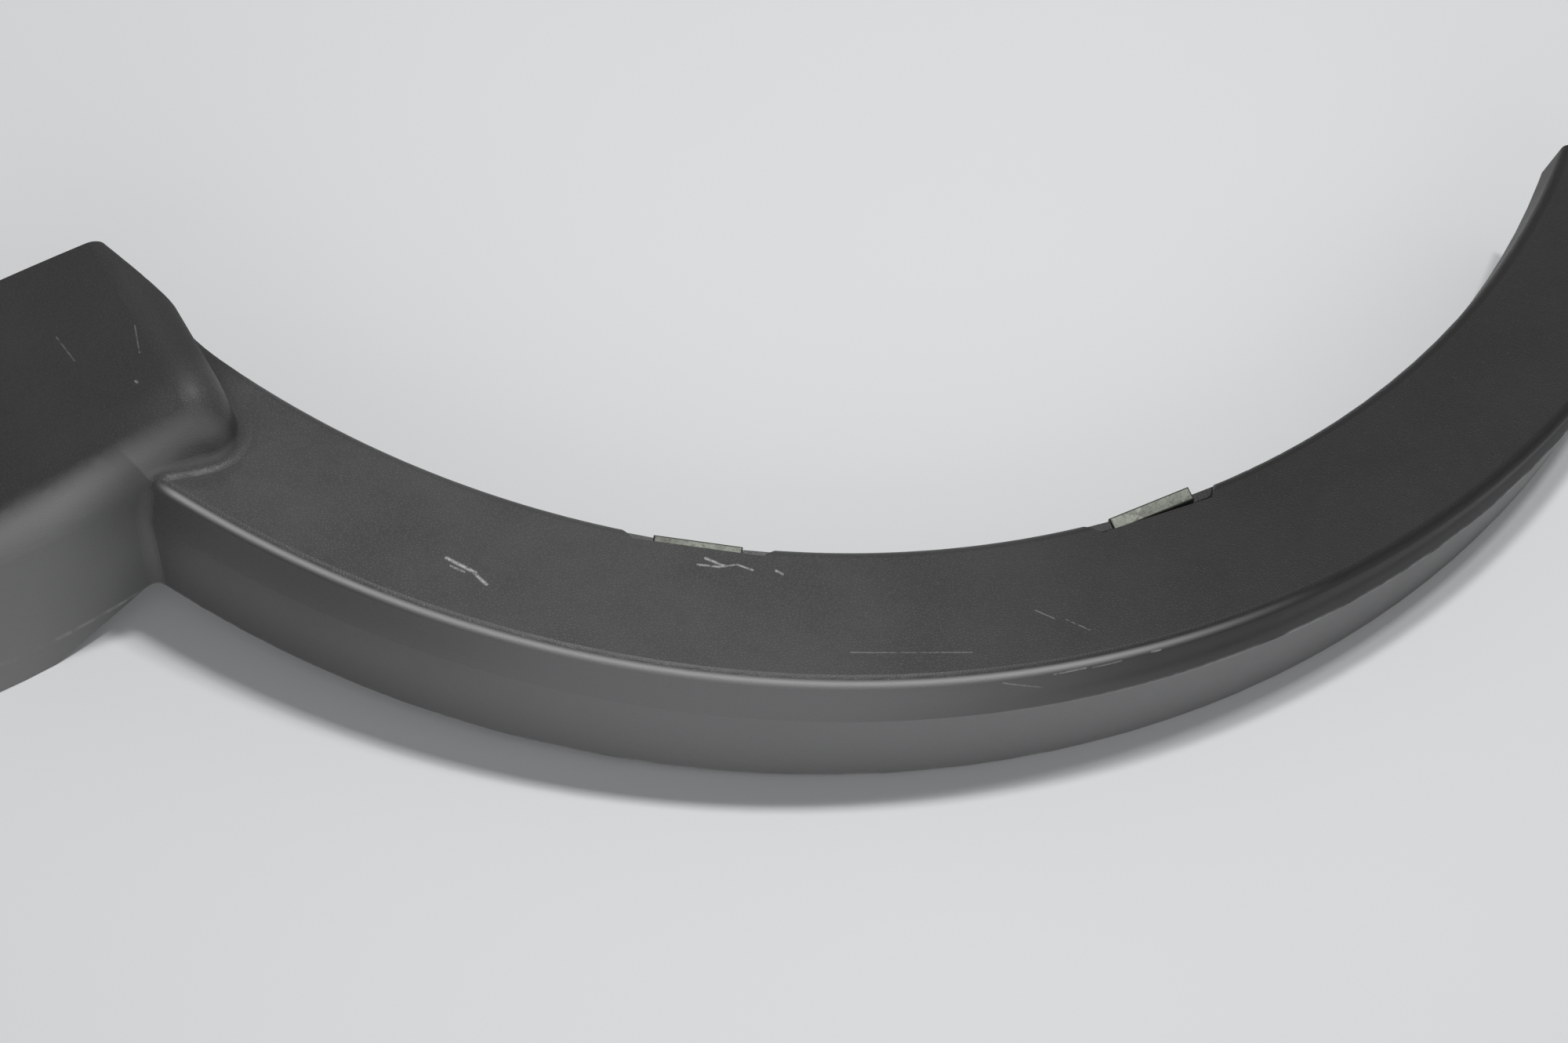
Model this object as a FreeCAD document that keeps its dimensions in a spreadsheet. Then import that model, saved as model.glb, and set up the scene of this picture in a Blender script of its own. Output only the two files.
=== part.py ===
"""Wheel arch trim: a hollow plastic arch moulding with a raised bumper corner and two steel edge clips.

The moulding is drawn in the frame of the wheel: the Z axis is the wheel axis and points away from the
car, X runs along the car and -Y is the crown of the arch. The finished pieces are then laid on a table.
"""
import FreeCAD, Part
import math
import os

import Sketcher

SIZES = {
    # arch section, as radius from the wheel axis and height over the edge of the wheel opening
    "opening_radius": 375.0,
    "ridge_radius": 432.5,
    "ridge_height": 12.3,
    "crease_radius": 437.6,
    "crease_depth": 12.0,
    "edge_radius": 441.7,
    "edge_depth": 58.4,
    "wall": 3.2,
    "ridge_round": 4.0,
    "lip_round": 4.5,
    "flange_depth": 22.0,
    # sweep of the arch, measured from its crown
    "tip_angle": 45.0,
    "root_angle": 60.0,
    # bumper corner: stations along the car, and its top, crest and near wall at each of them
    "nose_station": 305.0,
    "middle_station": 375.0,
    "end_station": 450.0,
    "nose_slant": 12.0,
    "nose_pivot": 250.0,
    "far_side": 175.0,
    "crest_side": 273.0,
    "nose_far_top": 25.0,
    "middle_far_top": 6.0,
    "end_far_top": -26.0,
    "crest_rise": 11.0,
    "nose_foot_side": 256.0,
    "middle_foot_side": 298.0,
    "end_foot_side": 328.0,
    "base_depth": 120.0,
    "crest_round": 22.0,
    "nose_round": 13.0,
    "junction_round": 5.5,
    # lower edge of the bumper corner
    "corner_station": 350.0,
    "foot_station": 388.0,
    "foot_depth": 71.5,
    "end_depth": 69.5,
    # notches in the lip and the steel clips that sit in them
    "left_notch_angle": 24.6,
    "right_notch_angle": 2.2,
    "notch_length": 48.0,
    "notch_flare": 6.0,
    "left_notch_reach": 3.4,
    "right_notch_reach": 4.8,
    "notch_depth": 4.5,
    "clip_length": 33.0,
    "clip_sheet": 0.8,
    "clip_leg": 16.0,
    "clip_play": 0.6,
    "clip_lean": 13.0,
    "screw_hole": 5.0,
    "screw_drop": 11.0,
    # screw tab at the tip and cross ribs under the face
    "tab_width": 34.0,
    "tab_reach": 13.2,
    "tab_corner": 10.0,
    "tab_hole": 6.0,
    "rib_thickness": 2.0,
    "rib_first_angle": 38.0,
    "rib_pitch": 27.0,
    # how the trim lies on a table
    "rest_tilt": 5.1,
}
RIB_COUNT = 3
OVERRUN = 40.0


class Size:
    """A size with its number and the spreadsheet expression that the number comes from."""

    def __init__(self, value, text):
        self.value = value
        self.text = text

    def __add__(self, other):
        other = as_size(other)
        return Size(self.value + other.value, f"({self.text} + {other.text})")

    def __sub__(self, other):
        other = as_size(other)
        return Size(self.value - other.value, f"({self.text} - {other.text})")

    def __mul__(self, other):
        other = as_size(other)
        return Size(self.value * other.value, f"({self.text} * {other.text})")

    def __truediv__(self, other):
        other = as_size(other)
        return Size(self.value / other.value, f"({self.text} / {other.text})")

    def __neg__(self):
        return Size(-self.value, f"(0 - {self.text})")


def as_size(number):
    """A plain number as a Size, and a Size as it is."""
    if isinstance(number, Size):
        return number
    return Size(float(number), repr(float(number)))


def cosine(angle):
    """Cosine of an angle in degrees."""
    return Size(math.cos(math.radians(angle.value)), f"cos({angle.text} * 1 deg)")


def sine(angle):
    """Sine of an angle in degrees."""
    return Size(math.sin(math.radians(angle.value)), f"sin({angle.text} * 1 deg)")


doc = FreeCAD.newDocument("wheel_arch_trim")
sheet = doc.addObject("Spreadsheet::Sheet", "sizes")
for row, (alias, number) in enumerate(SIZES.items(), start=1):
    sheet.set(f"A{row}", alias)
    sheet.set(f"B{row}", str(number))
    sheet.setAlias(f"B{row}", alias)
doc.recompute()
size = {alias: Size(number, f"sizes.{alias}") for alias, number in SIZES.items()}


def new_body(name):
    """An empty body with its own label."""
    body = doc.addObject("PartDesign::Body", name)
    body.Label = name
    doc.recompute()
    return body


def origin_item(body, role):
    """An axis or plane of a body's own origin."""
    return next(item for item in body.Origin.OriginFeatures if item.Role == role)


def bind(item, prop, amount):
    """Bind a property to an expression on the sizes."""
    item.setExpression(prop, as_size(amount).text)


def sketch_on(body, name, role, shift=None, turn=None, spin=None):
    """A sketch on an origin plane, moved along the normal and turned about its own Y axis or its normal."""
    sketch = body.newObject("Sketcher::SketchObject", name)
    sketch.AttachmentSupport = (origin_item(body, role), [""])
    sketch.MapMode = "FlatFace"
    axis = FreeCAD.Vector(0, 1, 0) if spin is None else FreeCAD.Vector(0, 0, 1)
    angle = turn if spin is None else spin
    about = FreeCAD.Rotation(axis, 0.0 if angle is None else angle.value)
    lift = FreeCAD.Vector(0, 0, 0 if shift is None else shift.value)
    sketch.AttachmentOffset = FreeCAD.Placement(lift, about)
    if angle is not None:
        bind(sketch, "AttachmentOffset.Rotation.Angle", angle)
    if shift is not None:
        bind(sketch, "AttachmentOffset.Base.z", shift)
    return sketch


def place(sketch, geometry, point, spot):
    """Hold one point of a sketch at a spot given by two sizes."""
    for kind, amount in zip(("DistanceX", "DistanceY"), spot):
        amount = as_size(amount)
        index = sketch.addConstraint(Sketcher.Constraint(kind, -1, 1, geometry, point, amount.value))
        sketch.setExpression(f"Constraints[{index}]", amount.text)


def polygon(sketch, corners):
    """A closed outline through corners that are pairs of sizes."""
    spots = [FreeCAD.Vector(as_size(x).value, as_size(y).value, 0) for x, y in corners]
    count = len(spots)
    for index, spot in enumerate(spots):
        sketch.addGeometry(Part.LineSegment(spot, spots[(index + 1) % count]), False)
    for index in range(count):
        sketch.addConstraint(Sketcher.Constraint("Coincident", index, 2, (index + 1) % count, 1))
    for index, corner in enumerate(corners):
        place(sketch, index, 1, corner)


def circle(sketch, middle, radius):
    """A circle about a middle given by two sizes."""
    radius = as_size(radius)
    spot = FreeCAD.Vector(as_size(middle[0]).value, as_size(middle[1]).value, 0)
    index = sketch.addGeometry(Part.Circle(spot, FreeCAD.Vector(0, 0, 1), radius.value), False)
    rule = sketch.addConstraint(Sketcher.Constraint("Radius", index, radius.value))
    sketch.setExpression(f"Constraints[{rule}]", radius.text)
    if as_size(middle[0]).value == 0.0 and as_size(middle[1]).value == 0.0:
        sketch.addConstraint(Sketcher.Constraint("Coincident", index, 3, -1, 1))
    else:
        place(sketch, index, 3, middle)


def revolve(body, name, sketch, angle):
    """A body of revolution about the wheel axis."""
    feature = body.newObject("PartDesign::Revolution", name)
    feature.Profile = sketch
    feature.ReferenceAxis = (origin_item(body, "Z_Axis"), [""])
    feature.Angle = angle.value
    bind(feature, "Angle", angle)
    doc.recompute()
    return feature


def loft(body, name, sketches):
    """A smooth skin through a row of sketches."""
    feature = body.newObject("PartDesign::AdditiveLoft", name)
    feature.Profile = sketches[0]
    feature.Sections = sketches[1:]
    feature.Ruled = False
    doc.recompute()
    return feature


def pad(body, name, sketch, length, middle=False):
    """A pad of a sketch, to one side or about its plane."""
    feature = body.newObject("PartDesign::Pad", name)
    feature.Profile = sketch
    feature.Midplane = middle
    feature.Length = length.value
    bind(feature, "Length", length)
    doc.recompute()
    return feature


def pocket(body, name, sketch, length=None, upwards=False):
    """A cut about the plane of a sketch or up from it, right through the body unless a length is given."""
    before = body.Shape.Volume
    feature = body.newObject("PartDesign::Pocket", name)
    feature.Profile = sketch
    feature.Midplane = not upwards
    feature.Reversed = upwards
    if length is None:
        feature.Type = "ThroughAll"
    else:
        length = as_size(length)
        feature.Length = length.value
        bind(feature, "Length", length)
    doc.recompute()
    if not body.Shape.Volume < before:
        raise RuntimeError(f"{name} cuts nothing")
    return feature


def round_edges(body, name, edges, radius):
    """A fillet on the edges of the body's last feature whose numbers are given."""
    feature = body.newObject("PartDesign::Fillet", name)
    feature.Base = (feature.BaseFeature, [f"Edge{number}" for number in edges])
    feature.Radius = radius.value
    bind(feature, "Radius", radius)
    doc.recompute()
    return feature


def edges_where(shape, test):
    """Numbers of the edges whose middle point passes a test."""
    found = []
    for number, edge in enumerate(shape.Edges, start=1):
        middle = edge.valueAt((edge.FirstParameter + edge.LastParameter) / 2)
        if test(edge, middle):
            found.append(number)
    return found


def corner_section(body, name, station, far_top, foot_side, inset, turn=None):
    """One station of the bumper corner, seen along the car, inset by a wall for the inside."""
    sketch = sketch_on(body, name, "YZ_Plane", shift=-station, turn=turn)
    far = -size["far_side"] + OVERRUN
    crest_top = far_top + size["crest_rise"]
    top_slope = size["crest_rise"] / (size["crest_side"] - size["far_side"])
    polygon(sketch, [
        (far, far_top - top_slope * OVERRUN - inset),
        (-size["crest_side"] + inset, crest_top - inset),
        (-foot_side + inset, -size["base_depth"]),
        (far, -size["base_depth"]),
    ])
    return sketch


def bumper_corner(body, inset, crest_round, nose_round):
    """The raised corner as a filled block, with its crest and its nose rounded and its far side straight."""
    inset = as_size(inset)
    slant = size["nose_slant"]
    lead = size["nose_pivot"] * sine(slant)
    end = size["end_station"]
    if as_size(inset).value > 0:
        end = end + OVERRUN / 40
    skin = loft(body, f"{body.Name}_corner", [
        corner_section(body, f"{body.Name}_nose", size["nose_station"] + lead + inset, size["nose_far_top"],
                       size["nose_foot_side"], inset, slant),
        corner_section(body, f"{body.Name}_middle", size["middle_station"], size["middle_far_top"],
                       size["middle_foot_side"], inset),
        corner_section(body, f"{body.Name}_end", end, size["end_far_top"],
                       size["end_foot_side"], inset),
    ])
    crest_y = inset_value(size["crest_side"], inset)
    crest = edges_where(skin.Shape, lambda edge, middle: abs(middle.y + crest_y) < 4 and long_edge(edge, 100))
    rounded = round_edges(body, f"{body.Name}_crest", crest, crest_round)
    beyond = size["end_station"] + OVERRUN
    far = -size["far_side"] + inset * 2
    far_edge = sketch_on(body, f"{body.Name}_far_side_outline", "XY_Plane")
    polygon(far_edge, [(-beyond, far), (beyond, far), (beyond, as_size(0.0)), (-beyond, as_size(0.0))])
    rounded = pocket(body, f"{body.Name}_far_side", far_edge)
    nose_faces = [face for face in rounded.Shape.Faces if is_nose(face, inset)]
    border = [edge for face in nose_faces for edge in face.Edges]
    nose = edges_where(rounded.Shape, lambda edge, middle: on_nose_rim(edge, middle, border))
    return round_edges(body, f"{body.Name}_nose_rim", nose, nose_round)


def inset_value(amount, inset):
    """The number of a size less a wall."""
    return as_size(amount).value - as_size(inset).value


def long_edge(edge, length):
    """Whether an edge is longer than a length."""
    return edge.Length > length


def is_nose(face, inset):
    """Whether a face is the flat end of the bumper corner that looks along the arch."""
    if not isinstance(face.Surface, Part.Plane):
        return False
    middle = face.CenterOfMass
    return middle.x > -size["nose_station"].value - as_size(inset).value - OVERRUN


def on_nose_rim(edge, middle, border):
    """Whether an edge bounds the nose along its top or its near wall."""
    if not any(edge.isSame(other) for other in border):
        return False
    at_base = middle.z < -size["base_depth"].value + 1
    at_far_side = abs(edge.Vertexes[0].Y - edge.Vertexes[1].Y) < 1 and middle.y > -size["far_side"].value - 5
    return not at_base and not at_far_side


def face_height(radius):
    """Height of the sloping face of the arch at a radius."""
    run = size["ridge_radius"] - size["opening_radius"]
    return size["ridge_height"] * (radius - size["opening_radius"]) / run


def skirt_foot(depth):
    """Radius of the skirt at a depth below its crease, along its own slope."""
    slope = (size["edge_radius"] - size["crease_radius"]) / (size["edge_depth"] - size["crease_depth"])
    return size["crease_radius"] + slope * (depth - size["crease_depth"])


# The outside of the moulding, as one filled block
moulding = new_body("arch_moulding")
bumper_corner(moulding, 0.0, size["crest_round"], size["nose_round"])

start = -(size["root_angle"] + 90.0)
sweep = size["root_angle"] + size["tip_angle"]
inside_radius = size["opening_radius"] - 15.0
arch = sketch_on(moulding, "arch_section", "XZ_Plane", turn=start)
polygon(arch, [
    (inside_radius, -size["base_depth"]),
    (inside_radius, face_height(inside_radius)),
    (size["ridge_radius"], size["ridge_height"]),
    (size["crease_radius"], -size["crease_depth"]),
    (skirt_foot(size["base_depth"]), -size["base_depth"]),
])
revolve(moulding, "arch_block", arch, sweep)
ridge_edges = edges_where(moulding.Shape, lambda edge, middle: abs(
    math.hypot(middle.x, middle.y) - SIZES["ridge_radius"]) < 0.01 and long_edge(edge, 50))
round_edges(moulding, "ridge", ridge_edges, size["ridge_round"])


def on_arch(point):
    """Whether a point lies on the sloping face or the skirt of the arch block."""
    radius = math.hypot(point.x, point.y)
    over_face = point.z - face_height(as_size(radius)).value
    off_skirt = radius - skirt_foot(as_size(-point.z)).value
    upper = (size["crease_radius"] - size["ridge_radius"]).value
    upper = upper / (size["crease_depth"] + size["ridge_height"]).value
    off_upper = radius - SIZES["ridge_radius"] - upper * (SIZES["ridge_height"] - point.z)
    return min(abs(over_face), abs(off_skirt), abs(off_upper)) < 0.05 or radius > SIZES["ridge_radius"] - 5


def on_junction(edge, middle):
    """Whether an edge is where the bumper corner meets the arch above the trimmed edge."""
    angle = math.degrees(math.atan2(-middle.x, -middle.y))
    if not 40 < angle < SIZES["root_angle"] - 0.5 or middle.z < -SIZES["base_depth"] + 1:
        return False
    ends = [vertex.Point for vertex in edge.Vertexes]
    arcs = all(abs(math.hypot(end.x, end.y) - math.hypot(middle.x, middle.y)) < 0.01 for end in ends)
    inside = all(end.x > -SIZES["end_station"] + 1 for end in ends)
    return inside and on_arch(middle) and all(on_arch(end) for end in ends) and not arcs


junction = edges_where(moulding.Shape, on_junction)
round_edges(moulding, "junction", junction, size["junction_round"])

# The wheel opening and the rounding of its lip
opening = sketch_on(moulding, "opening_outline", "XY_Plane")
circle(opening, (0.0, 0.0), size["opening_radius"])
pocket(moulding, "wheel_opening", opening)


def on_lip(edge, middle):
    """Whether an edge is the top edge of the wheel opening."""
    radius = math.hypot(middle.x, middle.y)
    along = abs(edge.tangentAt((edge.FirstParameter + edge.LastParameter) / 2).z)
    return abs(radius - SIZES["opening_radius"]) < 0.01 and middle.z > -SIZES["flange_depth"] and along < 0.9


lip = edges_where(moulding.Shape, on_lip)
round_edges(moulding, "lip", lip, size["lip_round"])

# The hollow inside, as a block of its own
hollow = new_body("hollow")
bumper_corner(hollow, size["wall"], size["crest_round"] - size["wall"], size["nose_round"] - size["wall"])
flange_back = size["opening_radius"] + size["wall"]
keep_flange = sketch_on(hollow, "flange_back_outline", "XY_Plane")
circle(keep_flange, (0.0, 0.0), flange_back)
pocket(hollow, "flange_back", keep_flange)

channel = sketch_on(hollow, "channel_section", "XZ_Plane", turn=start + 2.0)
roof_end = size["ridge_radius"] - size["wall"]
inner_foot = skirt_foot(size["base_depth"]) - size["wall"]
polygon(channel, [
    (flange_back, -size["base_depth"]),
    (flange_back, face_height(flange_back) - size["wall"]),
    (roof_end, face_height(roof_end) - size["wall"]),
    (size["crease_radius"] - size["wall"], -size["crease_depth"]),
    (inner_foot, -size["base_depth"]),
])
end_wall = size["wall"] / size["ridge_radius"] * (180.0 / math.pi)
revolve(hollow, "channel", channel, sweep - 2.0 - end_wall)
under_flange = sketch_on(hollow, "under_flange_section", "XZ_Plane", turn=start - 6.0)
polygon(under_flange, [
    (size["opening_radius"] - 1.0, -size["base_depth"]),
    (size["opening_radius"] - 1.0, -size["flange_depth"]),
    (flange_back + 0.5, -size["flange_depth"]),
    (flange_back + 0.5, -size["base_depth"]),
])
revolve(hollow, "under_flange", under_flange, sweep + 6.0 - end_wall)

before = moulding.Shape.Volume
hollowing = moulding.newObject("PartDesign::Boolean", "hollowing")
hollowing.setObjects([hollow])
hollowing.Type = "Cut"
doc.recompute()
if not moulding.Shape.Volume < before:
    raise RuntimeError("the hollow cuts nothing")

# The lower edge, level along the arch and stepped down under the bumper corner
reach = size["end_station"] + OVERRUN
lower = sketch_on(moulding, "lower_edge_outline", "XZ_Plane")
polygon(lower, [
    (reach, -size["edge_depth"]),
    (-size["corner_station"], -size["edge_depth"]),
    (-size["foot_station"], -size["foot_depth"]),
    (-reach, -size["end_depth"]),
    (-reach, -size["base_depth"] - OVERRUN),
    (reach, -size["base_depth"] - OVERRUN),
])
pocket(moulding, "lower_edge", lower)


def notch(name, angle, notch_reach):
    """A notch in the lip for a clip, with flared ends, at an angle from the crown."""
    outline = sketch_on(moulding, f"{name}_outline", "XY_Plane", shift=-size["notch_depth"],
                        spin=angle - 90.0)
    half = size["notch_length"] / 2
    floor = size["opening_radius"] + notch_reach
    mouth = size["opening_radius"] - 2.0
    polygon(outline, [
        (mouth, -half - size["notch_flare"]),
        (floor, -half),
        (floor, half),
        (mouth, half + size["notch_flare"]),
    ])
    return pocket(moulding, name, outline, size["base_depth"], upwards=True)


notch("left_notch", -size["left_notch_angle"], size["left_notch_reach"])
notch("right_notch", size["right_notch_angle"], size["right_notch_reach"])

# Cross ribs in the channel
rib = sketch_on(moulding, "rib_outline", "XZ_Plane", turn=-(size["rib_first_angle"] + 90.0))
rib_foot = size["crease_depth"] * 2
polygon(rib, [
    (flange_back - 0.5, -size["notch_depth"] - 1.0),
    (flange_back - 0.5, face_height(flange_back) - size["wall"] + 0.5),
    (roof_end, face_height(roof_end) - size["wall"] + 0.5),
    (size["crease_radius"] - size["wall"] + 0.5, -size["crease_depth"]),
    (skirt_foot(rib_foot) - size["wall"] + 0.5, -rib_foot),
])
first_rib = pad(moulding, "rib", rib, size["rib_thickness"], middle=True)
ribs = moulding.newObject("PartDesign::PolarPattern", "ribs")
ribs.Originals = [first_rib]
ribs.Axis = (origin_item(moulding, "Z_Axis"), [""])
ribs.Occurrences = RIB_COUNT
ribs.Angle = size["rib_pitch"].value * (RIB_COUNT - 1)
bind(ribs, "Angle", size["rib_pitch"] * (RIB_COUNT - 1.0))
moulding.Tip = ribs
doc.recompute()

# Screw tab under the closed tip
tip = size["tip_angle"] - 90.0
tab_middle = (size["opening_radius"] + size["edge_radius"]) / 2
tab_half = size["tab_width"] / 2
tab_foot = size["edge_depth"] + size["tab_reach"]
tip_corner = sketch_on(moulding, "tip_corner_outline", "XZ_Plane", turn=tip)
polygon(tip_corner, [
    (size["opening_radius"] - size["wall"], -size["flange_depth"]),
    (tab_middle - tab_half, -size["flange_depth"]),
    (tab_middle - tab_half, -size["base_depth"]),
    (size["opening_radius"] - size["wall"], -size["base_depth"]),
])
pocket(moulding, "tip_corner", tip_corner, size["wall"] * 4)
tab = sketch_on(moulding, "tab_outline", "XZ_Plane", turn=tip)
polygon(tab, [
    (tab_middle - tab_half, -size["edge_depth"] + size["tab_reach"]),
    (tab_middle + tab_half, -size["edge_depth"] + size["tab_reach"]),
    (tab_middle + tab_half, -tab_foot),
    (tab_middle - tab_half, -tab_foot),
])
pad(moulding, "tip_tab", tab, size["wall"])
tab_corners = edges_where(moulding.Shape, lambda edge, middle: abs(
    middle.z + tab_foot.value) < 0.01 and abs(edge.Length - SIZES["wall"]) < 0.01)
round_edges(moulding, "tab_corners", tab_corners, size["tab_corner"])
tab_hole = sketch_on(moulding, "tab_hole_outline", "XZ_Plane", turn=tip)
circle(tab_hole, (tab_middle, -size["edge_depth"]), size["tab_hole"] / 2)
pocket(moulding, "tab_hole", tab_hole, size["wall"] * 4)


def leaned(lean):
    """Where a clip's screw hole sits: along the lip from the clip's middle, and in height."""
    half = size["clip_length"] / 2
    along = -half + half * cosine(lean) + size["screw_drop"] * sine(lean)
    height = -size["notch_depth"] + half * sine(lean) - size["screw_drop"] * cosine(lean)
    return along, height


def flange_hole(name, angle, lean):
    """The screw hole through the flange under a clip."""
    along, height = leaned(lean)
    outline = sketch_on(moulding, f"{name}_outline", "YZ_Plane", turn=angle - 90.0)
    circle(outline, (along, height), size["screw_hole"] / 2)
    return pocket(moulding, name, outline, (flange_back + size["wall"] * 2) * 2)


flange_hole("left_flange_hole", -size["left_notch_angle"], as_size(0.0))
flange_hole("right_flange_hole", size["right_notch_angle"], size["clip_lean"])


def clip(name, angle, lean):
    """A folded steel clip that straddles the flange, drawn with its fold along Y at its notch."""
    body = new_body(name)
    inner = size["opening_radius"] - size["clip_play"]
    outer = flange_back + size["clip_play"] / 4
    seat = -size["notch_depth"]
    foot = seat - size["clip_leg"]
    sheet_metal = size["clip_sheet"]
    profile = sketch_on(body, f"{name}_profile", "XZ_Plane")
    polygon(profile, [
        (inner - sheet_metal, foot),
        (inner - sheet_metal, seat + sheet_metal),
        (outer + sheet_metal, seat + sheet_metal),
        (outer + sheet_metal, foot),
        (outer, foot),
        (outer, seat),
        (inner, seat),
        (inner, foot),
    ])
    pad(body, f"{name}_strip", profile, size["clip_length"], middle=True)
    bends = edges_where(body.Shape, lambda edge, middle: long_edge(edge, 5) and abs(
        middle.z - (seat + sheet_metal).value) < 0.01)
    round_edges(body, f"{name}_bends", bends, sheet_metal * 0.9)
    hole = sketch_on(body, f"{name}_hole_outline", "YZ_Plane", shift=size["opening_radius"])
    circle(hole, (0.0, seat - size["screw_drop"]), size["screw_hole"] / 2)
    pocket(body, f"{name}_hole", hole, OVERRUN)
    tilt = FreeCAD.Rotation(FreeCAD.Vector(1, 0, 0), as_size(lean).value)
    pivot = FreeCAD.Vector(0, -size["clip_length"].value / 2, seat.value)
    stand = FreeCAD.Placement(FreeCAD.Vector(0, 0, 0), tilt, pivot)
    about_wheel = FreeCAD.Rotation(FreeCAD.Vector(0, 0, 1), angle.value - 90)
    swing = FreeCAD.Placement(FreeCAD.Vector(0, 0, 0), about_wheel)
    return body, swing.multiply(stand)


left_clip, left_stand = clip("spring_clip_left", -size["left_notch_angle"], 0.0)
right_clip, right_stand = clip("spring_clip_right", size["right_notch_angle"], size["clip_lean"])
doc.recompute()

# Laid on a table, resting on the crown, the bumper corner and the tip tab
lean_back = FreeCAD.Rotation(FreeCAD.Vector(1, 0, 0), SIZES["rest_tilt"])
tilt = FreeCAD.Placement(FreeCAD.Vector(0, 0, 0), lean_back)
laid = moulding.Shape.copy()
laid.Placement = tilt
box = laid.optimalBoundingBox(False)
drop = FreeCAD.Vector(-(box.XMin + box.XMax) / 2, -(box.YMin + box.YMax) / 2, -box.ZMin)
lay = FreeCAD.Placement(drop, tilt.Rotation)
moulding.Placement = lay
left_clip.Placement = lay.multiply(left_stand)
right_clip.Placement = lay.multiply(right_stand)
doc.recompute()

pieces = (moulding, left_clip, right_clip)
failed = [item.Name for item in doc.Objects if "Invalid" in item.State or "Error" in item.State]
if failed:
    raise RuntimeError(f"failed features: {failed}")
for body in pieces:
    if body.Shape.isNull() or not body.Shape.isValid() or len(body.Shape.Solids) != 1:
        raise RuntimeError(f"{body.Label} is not one sound solid")

os.makedirs("parts", exist_ok=True)
for body in pieces:
    body.Shape.exportStep(f"parts/{body.Label}.step")
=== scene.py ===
"""Looks of a wheel arch trim: a grained plastic moulding with two zinc-plated spring clips, lying on a pale table."""
import logging
import math
from dataclasses import dataclass, field
from enum import Enum

import bmesh
import bpy
from mathutils import Matrix, Vector


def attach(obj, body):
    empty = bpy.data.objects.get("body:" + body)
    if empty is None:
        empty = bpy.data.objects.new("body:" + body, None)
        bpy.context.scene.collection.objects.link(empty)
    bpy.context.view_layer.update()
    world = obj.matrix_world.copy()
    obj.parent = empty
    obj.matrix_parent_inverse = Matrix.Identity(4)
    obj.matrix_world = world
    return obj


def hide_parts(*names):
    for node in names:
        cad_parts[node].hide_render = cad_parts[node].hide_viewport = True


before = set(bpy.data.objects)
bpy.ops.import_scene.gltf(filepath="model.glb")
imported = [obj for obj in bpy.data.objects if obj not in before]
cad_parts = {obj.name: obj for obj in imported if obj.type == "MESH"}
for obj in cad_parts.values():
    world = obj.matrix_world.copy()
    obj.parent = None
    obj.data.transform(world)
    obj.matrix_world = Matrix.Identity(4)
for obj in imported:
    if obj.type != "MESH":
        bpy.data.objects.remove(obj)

LOG = logging.getLogger("wheel_arch_trim")
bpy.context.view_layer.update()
MILLIMETRES = 1000.0
Colour = tuple[float, float, float, float]
Spot = tuple[float, float, float]
Span = tuple[float, float]


class Slot(Enum):
    """Material slots of the record."""

    PLASTIC = "grained_plastic"
    STEEL = "clip_steel"


@dataclass(frozen=True)
class Lay:
    """How the trim lies on the table: its wheel axis leans, and its lowest point touches the floor."""

    lean_degrees: float = 5.1
    shift: tuple[float, float, float] = (0.0688355, 0.3032805, 0.0976455)

    def matrix(self) -> Matrix:
        """Matrix from the wheel's frame to the frame of the table."""
        return Matrix.Translation(self.shift) @ Matrix.Rotation(math.radians(self.lean_degrees), 4, "X")

    def point(self, x: float, y: float, z: float) -> Vector:
        """A point of the wheel's frame, in millimetres, as metres on the table."""
        return self.matrix() @ (Vector((x, y, z)) / MILLIMETRES)

    def direction(self, x: float, y: float, z: float) -> Vector:
        """A direction of the wheel's frame on the table."""
        return self.matrix().to_3x3() @ Vector((x, y, z))


LAY = Lay()


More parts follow.
